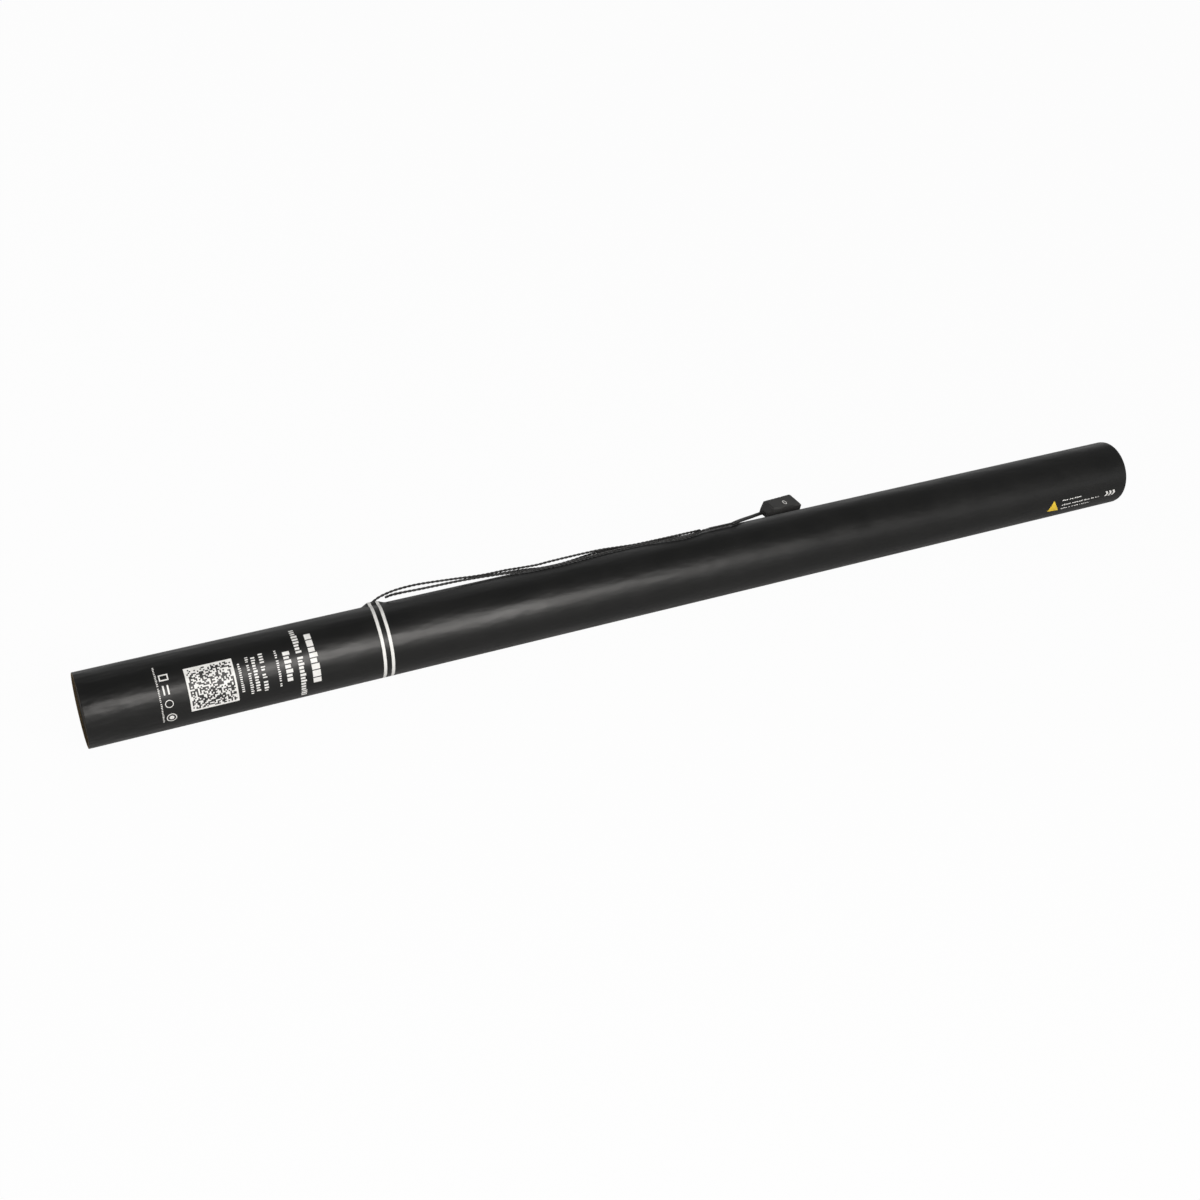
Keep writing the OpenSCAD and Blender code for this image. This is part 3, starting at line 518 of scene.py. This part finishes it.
# Where a ring leans forward: angle, millimetres and spread in radians
RING_LEANS = ((LEAD_ANGLE, 2.3, 0.72), (UNDER_ANGLE, 1.0, 0.65))
# Marks stand this far off the wrap, and marks on other marks this far
INK_LIFT, OVER_LIFT = 0.03, 0.055


def turn_between(a, b):
    """Angle from b to a, the short way round."""
    return (a - b + math.pi) % math.tau - math.pi


class Ink:
    """Flat marks that lie on the wrap, gathered into one mesh."""

    def __init__(self, lift):
        self.verts, self.faces, self.lift = [], [], lift

    def patch(self, t0, t1, a0, a1):
        """A patch between two distances and two angles in degrees."""
        rows = max(2, math.ceil((t1 - t0) / 2.5) + 1)
        cols = max(2, math.ceil(abs(a1 - a0) / 3) + 1)
        start = len(self.verts)
        for i in range(rows):
            t = t0 + (t1 - t0) * i / (rows - 1)
            for j in range(cols):
                a = math.radians(a0 + (a1 - a0) * j / (cols - 1))
                self.verts.append(on_tube(t, a, wrap_r(t, a) + self.lift))
        self.faces += shifted(grid_faces(rows, cols, flip=a1 > a0), start)

    def ring_band(self, t0, t1):
        """A band round the whole tube, drawn forward a little over the lead and underneath."""
        rows = 5
        angles = [math.radians(k) for k in range(360)]
        start = len(self.verts)
        for i in range(rows):
            t = t0 + (t1 - t0) * i / (rows - 1)
            for a in angles:
                tt = t
                for middle, push, spread in RING_LEANS:
                    tt += push * math.exp(-(turn_between(a, middle) / spread) ** 2)
                self.verts.append(on_tube(tt, a, wrap_r(tt, a) + self.lift))
        self.faces += shifted(grid_faces(rows, len(angles), True, flip=True), start)

    def outline(self, points, rings=5):
        """A filled outline of (distance, angle in degrees) points, laid on in rings."""
        ct = sum(p[0] for p in points) / len(points)
        ca = sum(p[1] for p in points) / len(points)
        # Points may run either way round, and every face is turned outward
        sides = list(zip(points, list(points[1:]) + [points[0]]))
        outward = sum(t0 * a1 - t1 * a0 for (t0, a0), (t1, a1) in sides) > 0
        edge = []
        for (t0, a0), (t1, a1) in sides:
            n = max(1, math.ceil(max(abs(t1 - t0), abs(a1 - a0)) / 1.5))
            edge += [(t0 + (t1 - t0) * k / n, a0 + (a1 - a0) * k / n) for k in range(n)]
        start = len(self.verts)
        for i in range(1, rings + 1):
            for t, a in edge:
                tt, r = ct + (t - ct) * i / rings, math.radians(ca + (a - ca) * i / rings)
                self.verts.append(on_tube(tt, r, wrap_r(tt, r) + self.lift))
        n = len(edge)
        self.faces += shifted(grid_faces(rings, n, True, flip=outward), start)
        self.verts.append(on_tube(ct, math.radians(ca), wrap_r(ct, math.radians(ca)) + self.lift))
        fan = [(len(self.verts) - 1, start + k, start + (k + 1) % n) for k in range(n)]
        self.faces += fan if outward else [f[::-1] for f in fan]

    def hoop(self, t, a, outer, inner, sides=28):
        """A small ring, its radii in millimetres."""
        start = len(self.verts)
        for k in range(sides):
            c, s = math.cos(math.tau * k / sides), math.sin(math.tau * k / sides)
            for r in (outer, inner):
                ang = math.radians(a) + r * s / R_WRAP
                self.verts.append(on_tube(t + r * c, ang, R_WRAP + self.lift))
        for k in range(sides):
            o, n = start + 2 * k, start + 2 * ((k + 1) % sides)
            self.faces.append((o, n, n + 1, o + 1))

    def done(self, name, material):
        put(mesh_piece(name, self.verts, self.faces), "barrel", "wrap", material)


white, black, yellow = Ink(INK_LIFT), Ink(OVER_LIFT), Ink(INK_LIFT)
rng = random.Random(7)

RING_HALF_W = 1.05
for centre in (188.85, 194.3):
    white.ring_band(centre - RING_HALF_W, centre + RING_HALF_W)


# In shares of a column's height: what short blocks lack, and what a wider gap adds
SHORT_CUT, WIDE_GAP = 0.2, 0.5


def greeked(t0, t1, a0, a1, width, gap, breaks=()):
    """A column of plain blocks round the tube; width and gap are shares of its height."""
    high = t1 - t0
    a = a0
    k = 0
    while True:
        w = high * width * rng.choice((0.7, 0.9, 1.0, 1.1)) * MM_DEG
        if abs(a1 - a0) < abs(a - a0) + w:
            break
        tall = rng.random() < 0.5
        white.patch(t0, t1 if tall else t1 - SHORT_CUT * high, a, a - w)
        a -= w + high * gap * MM_DEG
        k += 1
        if k in breaks:
            a -= high * WIDE_GAP * MM_DEG


# Columns of blocks: two distances, two angles, width, gap, and the counts before a wider gap
for column in ((141, 146.2, -20, -105, 0.78, 0.14),
               (133.0, 136.7, -5, -130, 0.42, 0.2, (9,)),
               (124.6, 129.0, -41, -90, 0.5, 0.18),
               (119.6, 121.2, -36, -95, 0.5, 0.4, (4, 14)),
               (109.6, 112.3, -35, -96, 0.4, 0.3, (4, 6, 8)),
               (104.6, 107.2, -38, -92, 0.45, 0.28),
               (101.0, 103.0, -36, -95, 0.4, 0.36, (3, 6)),
               (95.6, 97.3, -43, -88, 0.45, 0.4),
               (45.3, 46.4, -18, -109, 0.6, 0.5, (12, 20))):
    greeked(*column)

# Plain marks near the breech: a square frame, two bars and three hoops
for t0, t1, a0, a1 in ((47.6, 48.4, -33, -43), (52.6, 53.4, -33, -43), (48.4, 52.6, -33, -35),
                       (48.4, 52.6, -41, -43), (48.4, 49.4, -50, -64), (51.2, 52.2, -50, -64)):
    white.patch(t0, t1, a0, a1)
for hoop in ((50.6, -78, 2.6, 2.1), (50.8, -102, 3.2, 2.6), (50.8, -102, 1.5, 0.2)):
    white.hoop(*hoop)

# A white panel with a random mosaic
PANEL_T, PANEL_LEN, PANEL_A, PANEL_TURN = 63.1, 30.1, -32, 68
CELLS, MARGIN = 29, 1.2
white.patch(PANEL_T, PANEL_T + PANEL_LEN, PANEL_A, PANEL_A - PANEL_TURN)
step_t = (PANEL_LEN - 2 * MARGIN) / CELLS
step_a = (PANEL_TURN - 2 * MARGIN * MM_DEG) / CELLS
for i in range(CELLS):
    for j in range(CELLS):
        if rng.random() < 0.5:
            t = PANEL_T + MARGIN + i * step_t
            a = PANEL_A - MARGIN * MM_DEG - j * step_a
            black.patch(t, t + step_t, a, a - step_a)

# Marks near the muzzle: a plain triangle, three lines of blocks and three chevrons
yellow.outline([(729.6, -89.8), (725.6, -112.2), (736.6, -115)])
# Half heights of the lines' blocks in degrees, and the gaps between them in millimetres
HALF_TALL, HALF_SHORT, NARROW_GAP, BROAD_GAP = 1.3, 0.8, 0.5, 1.4
for a, t0, t1 in ((-93.5, 738.2, 756.7), (-104, 738.5, 774.7), (-113, 739.2, 766.6)):
    t = t0
    while t < t1:
        w = rng.choice((1.1, 1.4, 1.7))
        top = HALF_TALL if rng.random() < 0.35 else HALF_SHORT
        white.patch(t, min(t + w, t1), a + top, a - HALF_TALL)
        t += w + (BROAD_GAP if rng.random() < 0.2 else NARROW_GAP)
CHEVRON_T, CHEVRON_STEP, CHEVRON_A, CHEVRON_ARM = 780.4, 3.4, -101.6, 5.9
for k in range(3):
    t = CHEVRON_T + CHEVRON_STEP * k
    for arm in (CHEVRON_ARM, -CHEVRON_ARM):
        white.outline([(t + 1.5, CHEVRON_A), (t + 3.3, CHEVRON_A), (t + 1.8, CHEVRON_A + arm),
                       (t, CHEVRON_A + arm)])

white.done("white_print", WHITE_INK)
black.done("black_print", BLACK_INK)
yellow.done("yellow_print", YELLOW_INK)

# ---------------------------------------------------------------- tape

TAPE_T, TAPE_W, TAPE_FROM, TAPE_TO = 443.0, 18.0, -45.0, 80.0
TAPE_LIFT, TAPE_THICK = 0.06, 0.05
# The tent over the lead's last run: its middle in degrees, height and half width
TENT_MID, TENT_H, TENT_HALF_W = math.degrees(LEAD_ANGLE) - 6.5 * MM_DEG, 2.3, 1.75
# Creases reach this many degrees from the front end; two folds run beside the tent
CREASE_H, CREASE_REACH, FOLD_H, FOLD_W = 0.16, 9.0, 0.07, 0.5


def tape_sheet():
    rows, cols = 41, 161
    verts = []
    for i in range(rows):
        t = TAPE_T + TAPE_W * i / (rows - 1)
        for j in range(cols):
            deg = TAPE_FROM + (TAPE_TO - TAPE_FROM) * j / (cols - 1)
            s = (deg - TENT_MID) / MM_DEG
            tent = TENT_H * math.exp(-abs(s / TENT_HALF_W) ** 2.4)
            front = max(0.0, 1 - (deg - TAPE_FROM) / CREASE_REACH)
            crease = CREASE_H * front * max(0.0, math.sin(t * 2.3 + 0.12 * deg)) ** 6
            fold = FOLD_H * math.exp(-((s - 4.5 - 0.4 * math.sin(t)) / FOLD_W) ** 2)
            fold += FOLD_H * math.exp(-((s + 4.2 - 0.5 * math.cos(0.7 * t)) / FOLD_W) ** 2)
            verts.append(on_tube(t, math.radians(deg), R_WRAP + TAPE_LIFT + tent + crease + fold))
    ob = mesh_piece("tape_strip", verts, grid_faces(rows, cols, flip=True))
    thick = ob.modifiers.new("thick", "SOLIDIFY")
    thick.thickness = TAPE_THICK * MM
    thick.offset = 1.0
    return ob


put(tape_sheet(), "barrel", "tape", MAT["tape"], "clear_tape")

# ---------------------------------------------------------------- plug

PLUG_H = 8.8


def ring_mesh(name, frame_matrix, centre, rx, ry, wide, lift, sides=40):
    """A flat oval ring, its sizes in millimetres, in a frame of its own."""
    verts, faces = [], []
    for k in range(sides):
        c, s = math.cos(math.tau * k / sides), math.sin(math.tau * k / sides)
        for grow in (0, wide):
            verts.append(frame_matrix @ Vector(((centre[0] + (rx + grow) * c) * MM,
                                                (centre[1] + (ry + grow) * s) * MM, lift * MM)))
    for k in range(sides):
        o, n = 2 * k, 2 * ((k + 1) % sides)
        faces.append((o, o + 1, n + 1, n))
    return mesh_piece(name, verts, faces)


put(ring_mesh("plug_mark", plug_frame, centre=(14.2, -1.3), rx=0.9, ry=1.7, wide=0.6,
              lift=PLUG_H / 2 + INK_LIFT),
    "barrel", "plug_plastic", WHITE_INK)

# ---------------------------------------------------------------- load

COLOURS = ["green", "red", "purple", "gold", "steel", "blue", "silver"]
# Where the first bundle starts, the step to the next, a slip's size and each bundle's turn
FIRST_T, STEP_T, SLIP_LEN, SLIP_W, TURN = 222.3, 55.3, 55.0, 21.5, 22.5
# A stack's corners stay this far off the bore
STACK_GAP = 0.8
STACK_H = 2 * math.sqrt((R_BORE - STACK_GAP) ** 2 - (SLIP_W / 2) ** 2)
# Bundles, slips in each, and the parts that a slip's length is divided into
BUNDLES, SLIPS, CUTS = 10, 34, 6
# Room that a slip leaves at its ends and sides, and how far it may be shifted along and across
END_ROOM, SIDE_ROOM, END_SHIFT, SIDE_SHIFT = 0.2, 0.4, 0.12, 0.35
# In shares of the height one slip has: its shift up or down, its thickness and its bend
LIFT, THICKNESS, BEND = 0.2, (0.35, 0.6), 0.12


def slip_stack(verts, faces, index):
    """Loose foil slips laid on each other, a little out of line."""
    pitch = STACK_H / SLIPS
    a = math.radians(TURN * index)
    for k in range(SLIPS):
        z = -STACK_H / 2 + (k + 0.5) * pitch
        dx, dy = rng.uniform(-END_SHIFT, END_SHIFT), rng.uniform(-SIDE_SHIFT, SIDE_SHIFT)
        lift = rng.uniform(-LIFT, LIFT) * pitch
        thick = pitch * rng.uniform(*THICKNESS)
        half_w = SLIP_W / 2 - SIDE_ROOM
        start = len(verts)
        for i in range(CUTS + 1):
            u = i / CUTS
            bend = BEND * pitch * math.sin(math.pi * u * 2 + k)
            x = FIRST_T + index * STEP_T + END_ROOM + (SLIP_LEN - 2 * END_ROOM) * u + dx
            for y, dz in ((-half_w, -thick / 2), (half_w, -thick / 2), (half_w, thick / 2),
                          (-half_w, thick / 2)):
                yy, zz = y + dy, z + dz + lift + bend
                y2, z2 = yy * math.cos(a) - zz * math.sin(a), yy * math.sin(a) + zz * math.cos(a)
                verts.append(Vector(((x - HALF) * MM, y2 * MM, (R_WRAP + z2) * MM)))
        faces += shifted(grid_faces(CUTS + 1, 4, True), start)
        faces.append(tuple(start + v for v in (3, 2, 1, 0)))
        faces.append(tuple(start + CUTS * 4 + v for v in (0, 1, 2, 3)))


for n, colour in enumerate(COLOURS):
    verts, faces = [], []
    for index in range(n, BUNDLES, len(COLOURS)):
        slip_stack(verts, faces, index)
    put(mesh_piece(colour + "_foil_slips", verts, faces, smooth=False), "load", "foil_" + colour,
        MAT["foil_" + colour], colour + "_slips")


def soft_disc(name, t0, t1, radius, edge, waves, sides=72):
    """A padded disc with rounded edges and a lightly crumpled face."""
    flat = radius - edge
    profile = [(r * flat, t0) for r in (0.0, 0.35, 0.7, 1.0)]
    for a in map(math.radians, (30, 60, 90)):
        profile.append((flat + edge * math.sin(a), t0 + edge - edge * math.cos(a)))
    profile.append((radius, (t0 + t1) / 2))
    for a in map(math.radians, (0, 30, 60, 90)):
        profile.append((flat + edge * math.cos(a), t1 - edge + edge * math.sin(a)))
    profile += [(r * flat, t1) for r in (0.7, 0.35, 0.0)]
    verts = []
    for r, t in profile:
        inside = 1 if t < (t0 + t1) / 2 else -1
        for k in range(sides):
            a = math.tau * k / sides
            crumple = math.sin(5 * a + r) * math.sin(r * 0.9 + 2) + math.sin(11 * a - r)
            # It fades out towards the middle
            push = waves * crumple * 0.5 * min(r / 6.0, 1.0)
            drawn_in = max(r - 0.02 - 0.3 * abs(push), 0.001)
            verts.append(on_tube(t + inside * (waves + push) * 0.5, a, drawn_in))
    return mesh_piece(name, verts, grid_faces(len(profile), sides, True, flip=True))


wad_piece = put(soft_disc("felt_wad", t0=207.0, t1=222.0, radius=22.45, edge=1.2, waves=0.05),
                "load", "felt", MAT["felt"], "wad")
pad_piece = put(soft_disc("tissue_pad", t0=775.3, t1=788.7, radius=22.4, edge=2.0, waves=0.5),
                "load", "tissue", MAT["tissue"], "front_pad")

# ---------------------------------------------------------------- stage


def area(name, place, aim, size, power, colour=(1, 1, 1), size_y=None):
    """A square or rectangular lamp, its power in watts."""
    data = bpy.data.lights.new(name, "AREA")
    data.energy = power
    data.color = colour
    data.size = size
    if size_y:
        data.shape = "RECTANGLE"
        data.size_y = size_y
    ob = bpy.data.objects.new(name, data)
    bpy.context.scene.collection.objects.link(ob)
    ob.location = place
    ob.rotation_euler = (Vector(aim) - Vector(place)).to_track_quat("-Z", "Y").to_euler()


# How much of the ground is plain white to each kind of ray
WHITE_SHARES = {"Is Camera Ray": 0.97, "Is Transmission Ray": 0.97, "Is Glossy Ray": 0.15}


def white_share(nodes, links):
    """The ground's white share; the rest is the lit floor with its shadow."""
    rays = nodes.new("ShaderNodeLightPath")
    value = 0.0
    for kind, weight in WHITE_SHARES.items():
        part = calc(nodes, links, "MULTIPLY", rays.outputs[kind], weight)
        value = calc(nodes, links, "MAXIMUM", value, part)
    return value


area("key", place=(0.14, -1.44, 0.77), aim=(-0.1, 0, 0.03), size=0.82, power=21.5,
     colour=(1.0, 0.97, 0.94), size_y=0.6)
area("fill", place=(-1.6, -1.2, 1.3), aim=(-0.2, 0, 0.03), size=1.2, power=1.2)
area("rim", place=(0.2, 1.6, 1.5), aim=(0, 0, 0.03), size=1.8, power=2, size_y=0.8)

FLOOR_HALF = 14
# The ground's greys at the first X and at the second, in metres along the tube; the darker grey is
# painted shade
FLOOR_SHADE_GREYS, FLOOR_X = ((0.72, 0.72, 0.72), (0.42, 0.42, 0.42)), (-0.35, 0.4)
corners = [(x * FLOOR_HALF, y * FLOOR_HALF, 0) for x, y in ((-1, -1), (1, -1), (1, 1), (-1, 1))]
floor = mesh_piece("floor", corners, [(0, 1, 2, 3)], False)
m, nodes, links, bsdf = shader("floor_white", Roughness=0.9)
# The ground is a darker grey towards the muzzle: painted shade where less light falls, which also
# dims its reflection in the wrap
floor_x = axes(nodes, links, texture_input(nodes, links, (1, 1, 1)))["X"]
muzzle_shade = remap(nodes, links, floor_x, 0.0, 1.0, *FLOOR_X)
links.new(ramp(nodes, links, muzzle_shade, *FLOOR_SHADE_GREYS, 0.0, 1.0), bsdf.inputs["Base Color"])
glow = nodes.new("ShaderNodeEmission")
glow.inputs["Color"].default_value = (1, 1, 1, 1)
blend = nodes.new("ShaderNodeMixShader")
links.new(white_share(nodes, links), blend.inputs["Fac"])
links.new(bsdf.outputs["BSDF"], blend.inputs[1])
links.new(glow.outputs["Emission"], blend.inputs[2])
links.new(blend.outputs["Shader"], nodes["Material Output"].inputs["Surface"])
floor.data.materials.append(m)

world = bpy.data.worlds.new("studio")
bpy.context.scene.world = world
world.use_nodes = True
wn, wl = world.node_tree.nodes, world.node_tree.links
background = wn["Background"]
background.inputs["Color"].default_value = (1, 1, 1, 1)
# White backdrop at the horizon, a dim room above
HORIZON_Z, ROOM_Z, ROOM_STRENGTH = 0.05, 0.42, 0.24
sky = wn.new("ShaderNodeTexCoord")
height = axes(wn, wl, sky.outputs["Generated"])["Z"]
strength = remap(wn, wl, height, 1.0, ROOM_STRENGTH, HORIZON_Z, ROOM_Z)
strength.node.interpolation_type = "SMOOTHSTEP"
wl.new(strength, background.inputs["Strength"])

bpy.context.scene.view_settings.view_transform = "Standard"
